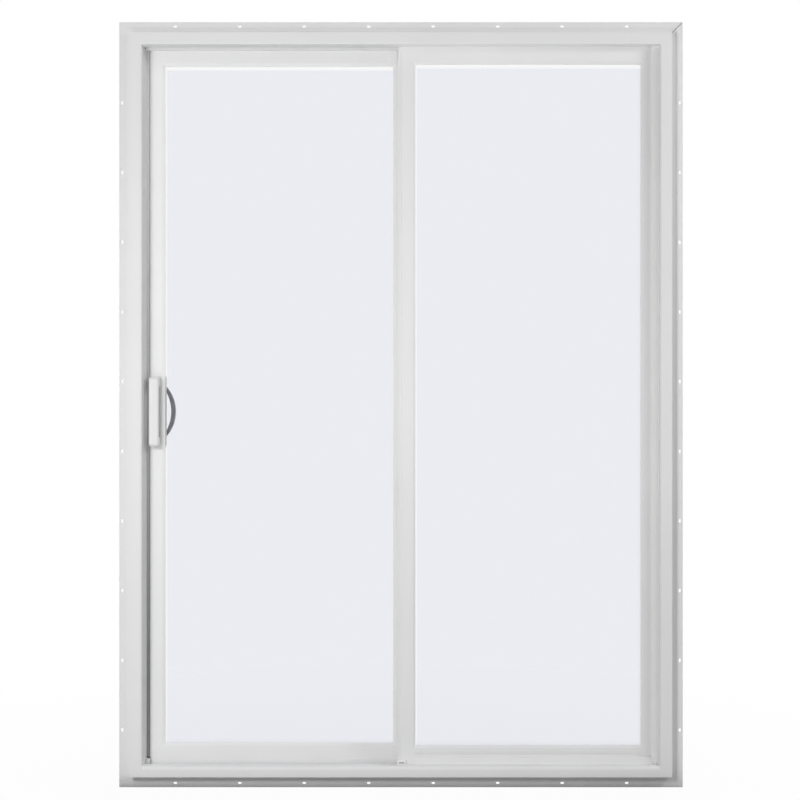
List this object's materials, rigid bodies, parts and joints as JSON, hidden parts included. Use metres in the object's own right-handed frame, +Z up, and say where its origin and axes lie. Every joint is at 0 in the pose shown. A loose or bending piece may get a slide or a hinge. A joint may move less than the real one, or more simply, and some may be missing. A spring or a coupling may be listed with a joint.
{
  "type": "sliding patio door",
  "caption": "White vinyl patio door with a fixed and a sliding glazed panel in a nail-fin frame, grip outdoors and bowed pull indoors.",
  "frame": {"origin": "back face of the bottom nail fin, in the middle of its length and of its height", "axes": "+X to the right seen from outdoors, +Y from outdoors into the room, +Z up"},
  "size_m": [1.538, 0.163, 2.088],
  "materials": {
    "vinyl": "satin white vinyl",
    "glass": "clear float glass",
    "spacer": "mill finish",
    "track": "clear anodised",
    "steel": "zinc plated",
    "nylon": "moulded nylon",
    "handle": "white enamel",
    "pull": "dark grey satin"
  },
  "bodies": {
    "frame": {"head": "vinyl", "sill": "vinyl", "lock_jamb": "vinyl", "fixed_jamb": "vinyl", "sill_nail_fin": "vinyl", "head_nail_fin": "vinyl", "lock_side_nail_fin": "vinyl", "fixed_side_nail_fin": "vinyl", "fixed_panel_meeting_stile": "vinyl", "fixed_panel_jamb_stile": "vinyl", "fixed_top_rail": "vinyl", "fixed_bottom_rail": "vinyl", "fixed_outer_pane": "glass", "fixed_inner_pane": "glass", "fixed_spacer": "spacer", "fixed_glazing_beads": "vinyl", "fixed_interlock": "vinyl", "fixed_panel_stop": "vinyl", "sill_rib_plug": "vinyl", "roller_track": "track", "lock_keeper": "steel"},
    "slider": {"slider_lock_stile": "vinyl", "slider_panel_meeting_stile": "vinyl", "slider_top_rail": "vinyl", "slider_bottom_rail": "vinyl", "slider_outer_pane": "glass", "slider_inner_pane": "glass", "slider_spacer": "spacer", "slider_glazing_beads": "vinyl", "slider_interlock": "vinyl", "lock_side_roller_carriage": "steel", "lock_side_roller_wheels": "nylon", "meeting_side_roller_carriage": "steel", "meeting_side_roller_wheels": "nylon", "lock_faceplate": "steel", "outdoor_handle_plate": "handle", "outdoor_grip": "handle", "room_handle_plate": "handle", "room_pull": "pull", "thumb_latch": "pull", "roller_adjuster_cover": "vinyl"}
  },
  "joints": [
    {"name": "panel_slide", "type": "slide", "parent": "frame", "child": "slider", "axis": [1, 0, 0], "range_m": [0, 0.62]}
  ]
}
